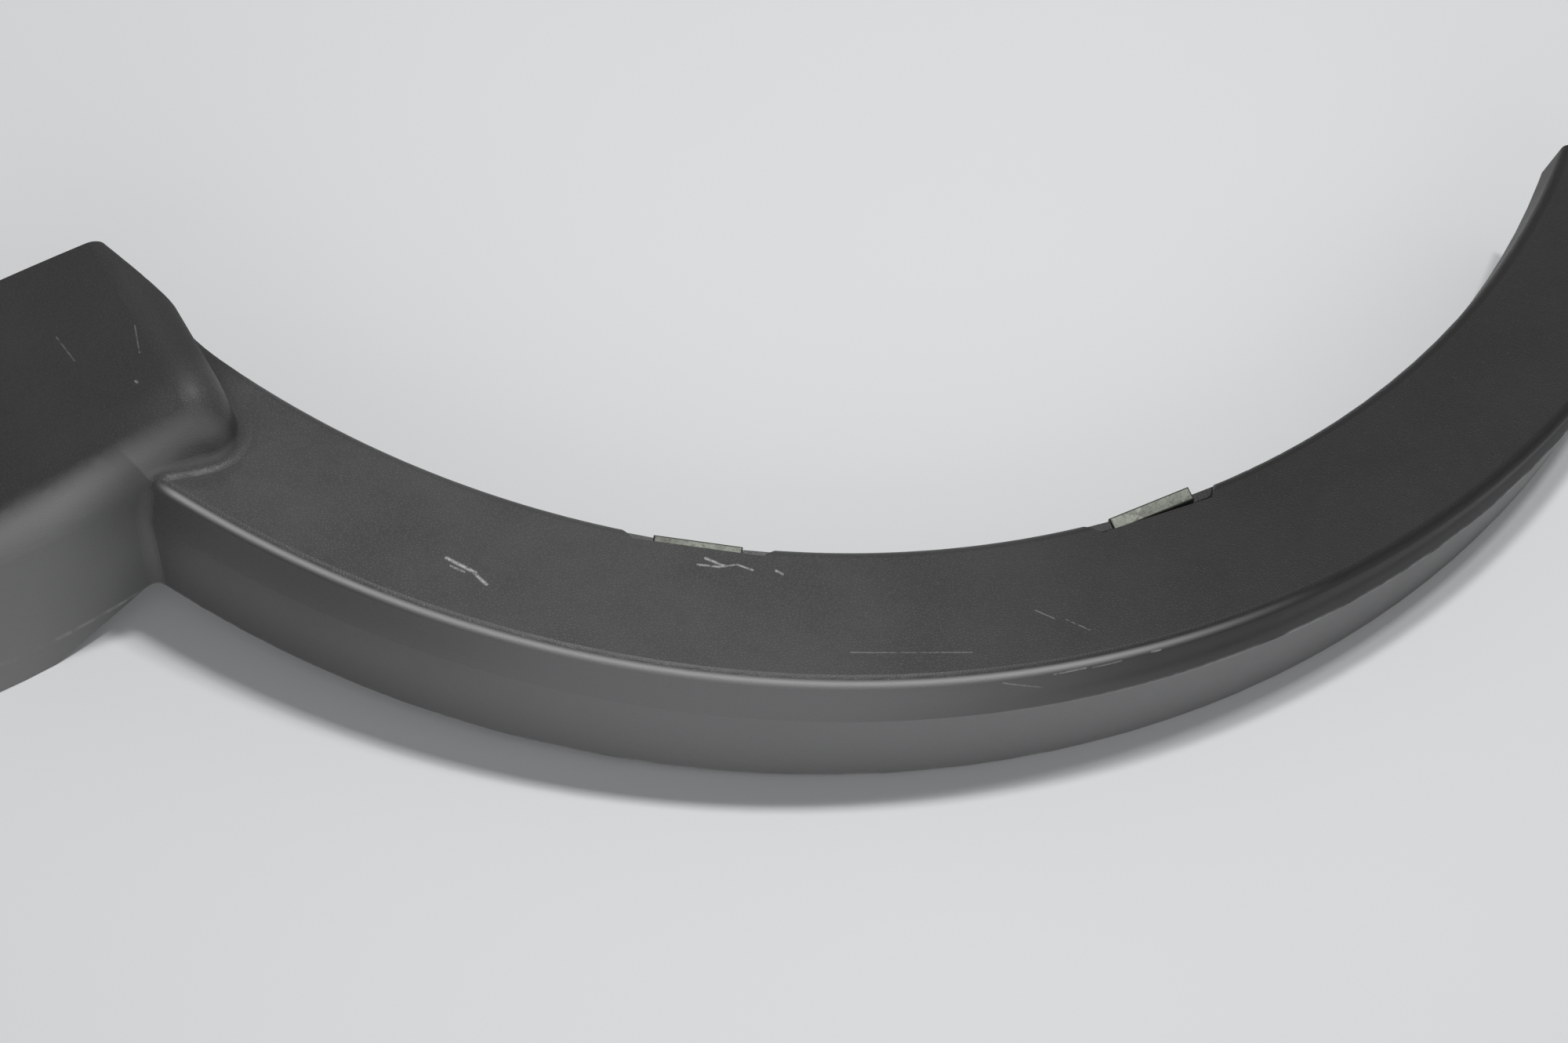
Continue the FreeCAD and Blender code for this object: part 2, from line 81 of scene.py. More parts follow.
class NodeSheet:
    """A node tree with short calls for adding nodes and joining them."""

    def __init__(self, tree: bpy.types.NodeTree) -> None:
        """Keeps the tree that nodes are added to."""
        self.tree = tree

    def feed(self, socket: bpy.types.NodeSocket, value: object) -> None:
        """Joins a socket to another one, or sets its own value.

        Args:
            socket: the input to fill.
            value: an output socket, a number or a tuple.
        """
        if isinstance(value, bpy.types.NodeSocket):
            self.tree.links.new(value, socket)
        else:
            socket.default_value = value

    def math(self, operation: str, a: object, b: object = 0.0, clamp: bool = False) -> bpy.types.NodeSocket:
        """A Math node.

        Args:
            operation: the operation's name.
            a: first value.
            b: second value.
            clamp: whether the result stays between 0 and 1.

        Returns:
            The result.
        """
        node = self.tree.nodes.new("ShaderNodeMath")
        node.operation = operation
        node.use_clamp = clamp
        self.feed(node.inputs[0], a)
        self.feed(node.inputs[1], b)
        return node.outputs[0]

    def product(self, first: object, *others: object) -> bpy.types.NodeSocket:
        """The product of several values."""
        total = first
        for other in others:
            total = self.math("MULTIPLY", total, other)
        return total

    def vector(self, operation: str, a: object, b: object = (0.0, 0.0, 0.0), number: bool = False,
               scale: object = None) -> bpy.types.NodeSocket:
        """A Vector Math node.

        Args:
            operation: the operation's name.
            a: first vector.
            b: second vector.
            number: whether the number output is wanted.
            scale: the factor of a SCALE operation.

        Returns:
            The vector or the number.
        """
        node = self.tree.nodes.new("ShaderNodeVectorMath")
        node.operation = operation
        self.feed(node.inputs[0], a)
        self.feed(node.inputs[1], b)
        if scale is not None:
            self.feed(node.inputs["Scale"], scale)
        return node.outputs["Value"] if number else node.outputs["Vector"]

    def ramp(self, value: object, low: object, high: object, start: float = 0.0,
             end: float = 1.0) -> bpy.types.NodeSocket:
        """A smooth step from start to end as value goes from low to high.

        Args:
            value: what is stepped.
            low: value at the start.
            high: value at the end.
            start: result at low.
            end: result at high.

        Returns:
            The stepped value.
        """
        node = self.tree.nodes.new("ShaderNodeMapRange")
        node.interpolation_type = "SMOOTHSTEP"
        self.feed(node.inputs["Value"], value)
        self.feed(node.inputs["From Min"], low)
        self.feed(node.inputs["From Max"], high)
        self.feed(node.inputs["To Min"], start)
        self.feed(node.inputs["To Max"], end)
        return node.outputs["Result"]

    def noise(self, position: object, scale: object, detail: float = 2.0,
              roughness: float = 0.5) -> bpy.types.NodeSocket:
        """A noise value on a position.

        Args:
            position: where it is read.
            scale: how fine it is.
            detail: octaves.
            roughness: weight of the finer octaves.

        Returns:
            The noise, about 0 to 1.
        """
        node = self.tree.nodes.new("ShaderNodeTexNoise")
        self.feed(node.inputs["Vector"], position)
        self.feed(node.inputs["Scale"], scale)
        node.inputs["Detail"].default_value = detail
        node.inputs["Roughness"].default_value = roughness
        return node.outputs["Fac"]

    def mix(self, factor: object, a: object, b: object) -> bpy.types.NodeSocket:
        """A colour mix.

        Args:
            factor: share of the second colour.
            a: first colour.
            b: second colour.

        Returns:
            The mixed colour.
        """
        node = self.tree.nodes.new("ShaderNodeMix")
        node.data_type = "RGBA"
        self.feed(node.inputs["Factor"], factor)
        self.feed(node.inputs[6], a)
        self.feed(node.inputs[7], b)
        return node.outputs[2]

    def group(self, tree: bpy.types.NodeTree, **values: object) -> bpy.types.Node:
        """Places a node group.

        Args:
            tree: the group.
            values: what its inputs are fed, by name with _ for a space.

        Returns:
            The group's node.
        """
        node = self.tree.nodes.new("ShaderNodeGroup")
        node.node_tree = tree
        for name, value in values.items():
            self.feed(node.inputs[name.replace("_", " ")], value)
        return node


class Effects:
    """Shader node groups that the finishes share."""

    def __init__(self) -> None:
        """Builds each group once."""
        self.arch_place = self._arch_place()
        self.leather_grain = self._leather_grain()
        self.line_mark = self._line_mark()
        self.band = self._band()
        self.dust = self._dust()

    @staticmethod
    def _new(name: str, inputs: dict[str, str], outputs: dict[str, str]) -> tuple[NodeSheet, bpy.types.Node,
                                                                              bpy.types.Node]:
        """An empty group with its sockets.

        Args:
            name: the group's name.
            inputs: socket type by input name.
            outputs: socket type by output name.

        Returns:
            Its sheet, its input node and its output node.
        """
        tree = bpy.data.node_groups.new(name, "ShaderNodeTree")
        for label, kind in inputs.items():
            tree.interface.new_socket(name=label, in_out="INPUT", socket_type=kind)
        for label, kind in outputs.items():
            tree.interface.new_socket(name=label, in_out="OUTPUT", socket_type=kind)
        return NodeSheet(tree), tree.nodes.new("NodeGroupInput"), tree.nodes.new("NodeGroupOutput")

    def _arch_place(self) -> bpy.types.NodeTree:
        """Radius from the wheel axis, angle from the crown and height over the opening's edge, of a position."""
        sheet, start, end = self._new("arch place", {"Position": "NodeSocketVector"},
                                      {"Radius": "NodeSocketFloat", "Angle": "NodeSocketFloat",
                                       "Height": "NodeSocketFloat"})
        frame_node = sheet.tree.nodes.new("ShaderNodeMapping")
        frame_node.vector_type = "TEXTURE"
        frame_node.inputs["Location"].default_value = LAY.shift
        frame_node.inputs["Rotation"].default_value = (math.radians(LAY.lean_degrees), 0.0, 0.0)
        sheet.feed(frame_node.inputs["Vector"], start.outputs["Position"])
        parts = sheet.tree.nodes.new("ShaderNodeSeparateXYZ")
        sheet.feed(parts.inputs[0], frame_node.outputs[0])
        flat = sheet.vector("MULTIPLY", frame_node.outputs[0], (1.0, 1.0, 0.0))
        sheet.feed(end.inputs["Radius"], sheet.vector("LENGTH", flat, number=True))
        away = sheet.math("MULTIPLY", parts.outputs["Y"], -1.0)
        sheet.feed(end.inputs["Angle"], sheet.math("ARCTAN2", parts.outputs["X"], away))
        sheet.feed(end.inputs["Height"], parts.outputs["Z"])
        return sheet.tree

    def _leather_grain(self) -> bpy.types.NodeTree:
        """Small rounded pebbles with fine cracks between them."""
        sheet, start, end = self._new("leather grain", {"Position": "NodeSocketVector", "Scale": "NodeSocketFloat"},
                                      {"Pebble": "NodeSocketFloat", "Height": "NodeSocketFloat"})
        position = start.outputs["Position"]
        wander = sheet.tree.nodes.new("ShaderNodeTexNoise")
        sheet.feed(wander.inputs["Vector"], position)
        sheet.feed(wander.inputs["Scale"], start.outputs["Scale"])
        small = sheet.vector("SCALE", wander.outputs["Color"], scale=0.0006)
        cells = sheet.tree.nodes.new("ShaderNodeTexVoronoi")
        cells.feature = "DISTANCE_TO_EDGE"
        sheet.feed(cells.inputs["Vector"], sheet.vector("ADD", position, small))
        sheet.feed(cells.inputs["Scale"], start.outputs["Scale"])
        pebble = sheet.ramp(cells.outputs["Distance"], 0.0, 0.32)
        uneven = sheet.noise(position, sheet.math("MULTIPLY", start.outputs["Scale"], 0.3))
        sheet.feed(end.inputs["Pebble"], pebble)
        sheet.feed(end.inputs["Height"], sheet.math("MULTIPLY", pebble, uneven))
        return sheet.tree

    def _line_mark(self) -> bpy.types.NodeTree:
        """How near a position is to a straight line between two points."""
        sheet, start, end = self._new("line mark", {"Position": "NodeSocketVector", "Start": "NodeSocketVector",
                                                    "End": "NodeSocketVector", "Width": "NodeSocketFloat"},
                                      {"Mask": "NodeSocketFloat", "Distance": "NodeSocketFloat"})
        run = sheet.vector("SUBTRACT", start.outputs["End"], start.outputs["Start"])
        offset = sheet.vector("SUBTRACT", start.outputs["Position"], start.outputs["Start"])
        along = sheet.math("DIVIDE", sheet.vector("DOT_PRODUCT", offset, run, number=True),
                           sheet.vector("DOT_PRODUCT", run, run, number=True), clamp=True)
        nearest = sheet.vector("SCALE", run, scale=along)
        distance = sheet.vector("LENGTH", sheet.vector("SUBTRACT", offset, nearest), number=True)
        sheet.feed(end.inputs["Distance"], distance)
        sheet.feed(end.inputs["Mask"], sheet.ramp(distance, 0.0, start.outputs["Width"], 1.0, 0.0))
        return sheet.tree

    def _band(self) -> bpy.types.NodeTree:
        """A soft band of a value about a middle."""
        sheet, start, end = self._new("band", {"Value": "NodeSocketFloat", "Middle": "NodeSocketFloat",
                                               "Reach": "NodeSocketFloat"}, {"Mask": "NodeSocketFloat"})
        away = sheet.math("ABSOLUTE", sheet.math("SUBTRACT", start.outputs["Value"], start.outputs["Middle"]))
        sheet.feed(end.inputs["Mask"], sheet.ramp(away, 0.0, start.outputs["Reach"], 1.0, 0.0))
        return sheet.tree

    def _dust(self) -> bpy.types.NodeTree:
        """A thin uneven film of dust and haze."""
        sheet, start, end = self._new("dust film", {"Position": "NodeSocketVector", "Amount": "NodeSocketFloat"},
                                      {"Mask": "NodeSocketFloat"})
        clouds = sheet.ramp(sheet.noise(start.outputs["Position"], 16.0, 4.0, 0.6), 0.3, 0.75)
        specks = sheet.ramp(sheet.noise(start.outputs["Position"], 900.0, 2.0, 0.6), 0.45, 0.8)
        both = sheet.math("ADD", sheet.math("MULTIPLY", clouds, 0.65), sheet.math("MULTIPLY", specks, 0.35))
        sheet.feed(end.inputs["Mask"], sheet.math("MULTIPLY", both, start.outputs["Amount"], clamp=True))
        return sheet.tree


def new_material(name: str) -> tuple[bpy.types.Material, NodeSheet, bpy.types.Node]:
    """A material with an empty Principled shader.

    Args:
        name: the material's name.

    Returns:
        The material, its node sheet and its shader.
    """
    material = bpy.data.materials.new(name)
    material.use_nodes = True
    tree = material.node_tree
    tree.nodes.clear()
    shader = tree.nodes.new("ShaderNodeBsdfPrincipled")
    output = tree.nodes.new("ShaderNodeOutputMaterial")
    tree.links.new(shader.outputs["BSDF"], output.inputs["Surface"])
    return material, NodeSheet(tree), shader


@dataclass(frozen=True)
class Scuff:
    """A pale scratch between two points on the surface, in millimetres on the table."""

    start: Spot
    end: Spot
    width: float
    strength: float


SCUFFS: tuple[Scuff, ...] = (
    Scuff((-177.2, -22.3, 75.8), (-169.3, -30.5, 75.5), 1.10, 1.0),
    Scuff((-169.8, -30.4, 75.6), (-166.9, -36.3, 75.7), 1.00, 0.9),
    Scuff((-176.8, -25.9, 76.0), (-172.9, -29.3, 75.8), 0.70, 0.8),
    Scuff((-87.8, -44.9, 68.3), (-82.1, -50.1, 68.3), 0.90, 0.9),
    Scuff((-91.5, -46.8, 68.8), (-84.1, -49.9, 68.5), 0.70, 0.8),
    Scuff((-84.1, -49.9, 68.5), (-77.7, -50.5, 68.0), 0.60, 0.7),
    Scuff((-77.7, -50.5, 68.0), (-73.0, -54.3, 68.1), 0.70, 0.8),
    Scuff((-64.8, -57.0, 67.7), (-63.1, -58.9, 67.8), 0.80, 0.9),
    Scuff((-51.8, -97.5, 71.4), (-9.8, -110.1, 70.8), 0.40, 0.32),
    Scuff((19.9, -100.2, 68.6), (25.2, -105.8, 69.1), 0.45, 0.3),
    Scuff((29.1, -107.4, 69.3), (35.4, -114.1, 70.0), 0.45, 0.3),
    Scuff((-2.4, -123.3, 67.2), (13.5, -126.5, 59.4), 0.80, 0.6),
    Scuff((16.5, -125.9, 67.8), (28.4, -127.0, 68.0), 0.80, 0.7),
    Scuff((31.5, -127.4, 67.5), (42.2, -128.2, 67.6), 0.70, 0.6),
    Scuff((54.5, -128.5, 68.6), (57.7, -128.7, 68.3), 0.90, 0.7),
    Scuff((-259.6, 84.8, 103.8), (-260.4, 73.0, 103.5), 0.45, 0.25),
    Scuff((-286.7, 93.3, 95.6), (-282.5, 80.5, 97.0), 0.45, 0.2),
    Scuff((-264.0, 62.3, 102.4), (-263.6, 61.5, 102.5), 0.70, 0.5),
)


@dataclass(frozen=True)
class Surface:
    """What the plastic reads of the moulding's surface, in metres and radians."""

    sheet: NodeSheet
    effects: Effects
    position: bpy.types.NodeSocket
    normal: bpy.types.NodeSocket
    radius: bpy.types.NodeSocket
    angle: bpy.types.NodeSocket
    height: bpy.types.NodeSocket

    @classmethod
    def of(cls, sheet: NodeSheet, effects: Effects) -> "Surface":
        """The surface as a material's nodes read it.

        Args:
            sheet: the material's nodes.
            effects: the shared node groups.

        Returns:
            The surface.
        """
        coordinates = sheet.tree.nodes.new("ShaderNodeTexCoord")
        position = coordinates.outputs["Object"]
        place = sheet.group(effects.arch_place, Position=position).outputs
        return cls(sheet, effects, position, coordinates.outputs["Normal"], place["Radius"], place["Angle"],
                   place["Height"])

    def along(self, span: Span, start: float = 0.0, end: float = 1.0) -> bpy.types.NodeSocket:
        """A smooth step along the arch, between two angles from the crown."""
        return self.sheet.ramp(self.angle, *span, start, end)

    def out(self, span: Span) -> bpy.types.NodeSocket:
        """A smooth step away from the wheel axis, between two radii."""
        return self.sheet.ramp(self.radius, *span)

    def up(self, span: Span, start: float = 0.0, end: float = 1.0) -> bpy.types.NodeSocket:
        """A smooth step between two heights over the opening's edge."""
        return self.sheet.ramp(self.height, *span, start, end)

    def line(self, value: object, middle: float, reach: float) -> bpy.types.NodeSocket:
        """A soft line where a value is at its middle."""
        return self.sheet.group(self.effects.band, Value=value, Middle=middle, Reach=reach).outputs["Mask"]


@dataclass(frozen=True)
class GrainedPlastic:
    """Dark grey moulded plastic with a leather grain, pale scratches, a painted highlight on the ridge, painted light
    on its upright sides and on the ledge below the cove, and painted shade towards the tip, on the bumper corner,
    under the ridge and in the cove.

    Places on the moulding are angles from the crown, radii from the wheel axis and heights over the opening's
    edge, in radians and metres.
    """

    dark: Colour = (0.046, 0.046, 0.046, 1.0)
    light: Colour = (0.062, 0.062, 0.062, 1.0)
    haze: Colour = (0.090, 0.091, 0.092, 1.0)
    # Painted highlight on the ridge; along the crease and the lower edge partly wear, partly painted highlight.
    wear_and_highlight: Colour = (0.40, 0.40, 0.395, 1.0)
    scratch: Colour = (0.44, 0.44, 0.43, 1.0)
    # Painted shade: a near-black tone mixed in towards the tip, on the bumper corner and in the cove.
    shade: Colour = (0.016, 0.0145, 0.014, 1.0)
    # Painted light on the upward-facing ledge below the cove.
    lit_ledge: Colour = (0.190, 0.195, 0.197, 1.0)
    # Painted light: side, front_lit and lit_wall are paler copies of the plastic for upright sides that face the near
    # side.
    side: Colour = (0.114, 0.114, 0.114, 1.0)
    front_lit: Colour = (0.220, 0.219, 0.220, 1.0)
    lit_wall: Colour = (0.232, 0.236, 0.230, 1.0)
    specular: float = 0.27
    base_roughness: float = 0.40
    dust_amount: float = 0.55
    grain_scale: float = 850.0
    grain_depth: float = 0.00006
    scratch_depth: float = 0.00008
    arch_begins: Span = (-0.94, -0.88)
    ridge_begins: Span = (-0.890, -0.868)
    ridge_highlight_fades: Span = (-0.12, 0.16)
    ridge_line: Span = (0.4317, 0.0016)
    ridge_top: Span = (0.0070, 0.0100)
    crease_begins: Span = (-0.25, 0.15)
    crease_line: Span = (-0.0122, 0.0014)
    edge_line: Span = (-0.0584, 0.0016)
    skirt_begins: Span = (0.4315, 0.4325)
    tip_shade_span: Span = (-0.42, 0.16)
    front_light_begins: Span = (-0.85, -0.35)
    front_light_ends: Span = (-0.1, 0.5)
    upright: Span = (0.45, 0.85)
    root_shade: Span = (-0.78, -0.50)
    root_shade_heights: Span = (-0.034, 0.004)
    cove_shade_begins: Span = (-0.34, 0.06)
    cove_heights: Span = (-0.0124, -0.0118)
    cove_radii: Span = (0.4280, 0.4300)
    ledge_light_begins: Span = (-0.35, 0.0)
    ledge_light_heights: Span = (-0.004, -0.0115)
    opening_radius: float = 375.0
    face_slope: float = 0.214
    valley_depth: float = 0.0005
    valley_reach: Span = (0.005, 0.0125)
    valley_radii: Span = (0.4335, 0.4300)
    foot: tuple[Span, ...] = ((-319, -205), (-309, -228), (-304, -242), (-308, -258), (-318, -268))

    def material(self, effects: Effects) -> bpy.types.Material:
        """Builds the plastic.

        Args:
            effects: the shared node groups.

        Returns:
            The material.
        """
        material, sheet, shader = new_material("grained plastic")
        shader.inputs["Specular IOR Level"].default_value = self.specular
        surface = Surface.of(sheet, effects)
        grain = sheet.group(effects.leather_grain, Position=surface.position, Scale=self.grain_scale).outputs
        dust = sheet.group(effects.dust, Position=surface.position, Amount=self.dust_amount).outputs["Mask"]
        on_arch = surface.along(self.arch_begins)
        ridge = self._ridge(surface)
        marks = self._marks(surface)
        step = sheet.product(surface.up(self.cove_heights), surface.out(self.cove_radii))
        # Painted shade: the cove under the ridge is darkened towards the tip.
        under = sheet.product(step, surface.along(self.cove_shade_begins, 0.0, 0.92))

        tone = self._face_tone(surface, grain["Pebble"], dust, on_arch)
        tone = self._lit_sides_and_shade(surface, tone, on_arch)
        tone = sheet.mix(under, tone, self.shade)
        # Painted light: the ledge below the cove, which faces up, is made paler.
        flare = sheet.product(step, surface.up(self.ledge_light_heights, 0.0, 0.35), surface.along(self.ledge_light_begins))
        tone = sheet.mix(flare, tone, self.lit_ledge)
        # Painted highlight on the ridge, and pale crease and edge lines that are partly wear and partly painted
        # highlight.
        tone = sheet.mix(self._wear_and_highlight(surface, ridge), tone, self.wear_and_highlight)
        sheet.feed(shader.inputs["Base Color"], sheet.mix(marks, tone, self.scratch))

        on_corner = sheet.math("SUBTRACT", 1.0, on_arch)
        rough = self.base_roughness
        for mask, change in ((dust, 0.22), (on_corner, 0.28), (under, 0.2), (ridge, -0.1)):
            rough = sheet.math("ADD", rough, sheet.product(mask, change))
        rough = sheet.math("ADD", rough, sheet.product(marks, 0.25), clamp=True)
        sheet.feed(shader.inputs["Roughness"], rough)

        relief = sheet.product(grain["Height"], self.grain_depth)
        relief = sheet.math("ADD", relief, self._valley(surface))
        relief = sheet.math("SUBTRACT", relief, sheet.product(marks, self.scratch_depth))
        bump = sheet.tree.nodes.new("ShaderNodeBump")
        bump.inputs["Strength"].default_value = 1.0
        bump.inputs["Distance"].default_value = 1.0
        sheet.feed(bump.inputs["Height"], relief)
        sheet.feed(shader.inputs["Normal"], bump.outputs["Normal"])
        return material

    def _ridge(self, surface: Surface) -> bpy.types.NodeSocket:
        """The top of the ridge, from the bumper corner to a little past the crown, where its painted highlight fades
        out.
        """
        return surface.sheet.product(surface.line(surface.radius, *self.ridge_line), surface.up(self.ridge_top),
                                     surface.along(self.ridge_highlight_fades, 1.0, 0.0), surface.along(self.ridge_begins))

    def _wear_and_highlight(self, surface: Surface, ridge: object) -> bpy.types.NodeSocket:
        """Painted highlight on the ridge, and broken pale lines along the crease and the lower edge that are partly
        wear and partly painted highlight.

        Args:
            surface: the moulding's surface.
            ridge: the top of the ridge.

        Returns:
            The mask.
        """
        sheet = surface.sheet
        crease = sheet.product(surface.line(surface.height, *self.crease_line), surface.along(self.crease_begins))
        edge = surface.line(surface.height, *self.edge_line)
        broken = sheet.ramp(sheet.noise(surface.position, 70.0, 4.0, 0.65), 0.35, 0.7)
        lines = sheet.product(sheet.math("MAXIMUM", crease, edge), surface.out(self.skirt_begins), 0.75, broken)
        return sheet.math("MAXIMUM", sheet.product(ridge, 0.85), lines)

    def _face_tone(self, surface: Surface, pebble: object, dust: object, on_arch: object) -> bpy.types.NodeSocket:
        """Colour of the grained face, with painted shade towards the tip and on the bumper corner.

        Args:
            surface: the moulding's surface.
            pebble: tops of the grain.
            dust: film of dust.
            on_arch: where the arch is.

        Returns:
            The colour.
        """
        sheet = surface.sheet
        tone = sheet.mix(dust, sheet.mix(pebble, self.dark, self.light), self.haze)
        # Painted shade towards the tip, and half painted shade on the bumper corner.
        tone = sheet.mix(surface.along(self.tip_shade_span, 0.0, 0.85), tone, self.shade)
        return sheet.mix(sheet.math("SUBTRACT", 0.5, sheet.product(on_arch, 0.5)), tone, self.shade)

    def _lit_sides_and_shade(self, surface: Surface, tone: object, on_arch: object) -> bpy.types.NodeSocket:
        """Colour with painted light on the upright sides that face the near side, and painted shade on the skirt just
        under the ridge.

        Args:
            surface: the moulding's surface.
            tone: colour of the face.
            on_arch: where the arch is.

        Returns:
            The colour.
        """
        sheet = surface.sheet
        # Painted light: faces turned to the near side get the paler tones, brightest in a lobe left of the crown.
        facing = sheet.vector("DOT_PRODUCT", surface.normal, (0.0, -1.0, 0.0), number=True)
        front_light_lobe = sheet.product(surface.along(self.front_light_begins), surface.along(self.front_light_ends, 1.0, 0.0))
        side = sheet.mix(on_arch, self.lit_wall, sheet.mix(front_light_lobe, self.side, self.front_lit))
        tone = sheet.mix(sheet.ramp(facing, *self.upright, 0.0, 0.9), tone, side)
        # Painted shade: the upper skirt just under the ridge is darkened towards the bumper corner.
        root = sheet.product(surface.out(self.skirt_begins), on_arch, surface.up(self.root_shade_heights, 0.0, 0.72),
                             surface.along(self.root_shade, 1.0, 0.0))
        return sheet.mix(root, tone, self.dark)

    def _marks(self, surface: Surface) -> bpy.types.NodeSocket:
        """All the scratches as one mask."""
        sheet = surface.sheet
        total = 0.0
        for scuff in SCUFFS:
            start = tuple(value / MILLIMETRES for value in scuff.start)
            end = tuple(value / MILLIMETRES for value in scuff.end)
            mark = sheet.group(surface.effects.line_mark, Position=surface.position, Start=start, End=end,
                               Width=scuff.width / MILLIMETRES).outputs["Mask"]
            total = sheet.math("MAXIMUM", total, sheet.product(mark, scuff.strength))
        breaks = sheet.ramp(sheet.noise(surface.position, 520.0, 4.0, 0.7), 0.30, 0.56)
        return sheet.math("MULTIPLY", total, breaks, clamp=True)

    def _valley(self, surface: Surface) -> bpy.types.NodeSocket:
        """Height of the shallow valley where the face of the arch ends before the bumper corner."""
        sheet = surface.sheet
        spots = [LAY.point(x, y, self.face_slope * (math.hypot(x, y) - self.opening_radius)) for x, y in self.foot]
        nearest = 1.0
        for start, end in zip(spots, spots[1:]):
            away = sheet.group(surface.effects.line_mark, Position=surface.position, Start=tuple(start),
                               End=tuple(end), Width=0.01).outputs["Distance"]
            nearest = sheet.math("MINIMUM", nearest, away)
        shape = sheet.ramp(nearest, *self.valley_reach, -self.valley_depth, 0.0)
        return sheet.product(shape, surface.out(self.valley_radii))


@dataclass(frozen=True)
class ZincSteel:
    """Dull zinc-plated spring steel with a faint spangle and dark handling marks."""

    bright: Colour = (0.125, 0.130, 0.115, 1.0)
    dull: Colour = (0.045, 0.048, 0.040, 1.0)

    def material(self, effects: Effects) -> bpy.types.Material:
        """Builds the plated steel.

        Args:
            effects: the shared node groups.

        Returns:
            The material.
        """
        material, sheet, shader = new_material("zinc plated steel")
        position = sheet.tree.nodes.new("ShaderNodeTexCoord").outputs["Object"]
        cells = sheet.tree.nodes.new("ShaderNodeTexVoronoi")
        cells.inputs["Scale"].default_value = 260.0
        sheet.feed(cells.inputs["Vector"], position)
        spangle = sheet.vector("LENGTH", cells.outputs["Color"], number=True)
        film = sheet.group(effects.dust, Position=position, Amount=1.0).outputs["Mask"]
        blend = sheet.math("ADD", sheet.product(spangle, 0.18), sheet.product(film, 0.6), clamp=True)
        sheet.feed(shader.inputs["Base Color"], sheet.mix(blend, self.bright, self.dull))
        sheet.feed(shader.inputs["Roughness"], sheet.math("ADD", 0.42, sheet.math("MULTIPLY", blend, 0.25)))
        shader.inputs["Metallic"].default_value = 1.0
        brush = sheet.vector("MULTIPLY", position, (300.0, 300.0, 2500.0))
        bump = sheet.tree.nodes.new("ShaderNodeBump")
        bump.inputs["Distance"].default_value = 1.0
        sheet.feed(bump.inputs["Height"], sheet.math("MULTIPLY", sheet.noise(brush, 1.0, 3.0), 0.00003))
        sheet.feed(shader.inputs["Normal"], bump.outputs["Normal"])
        return material


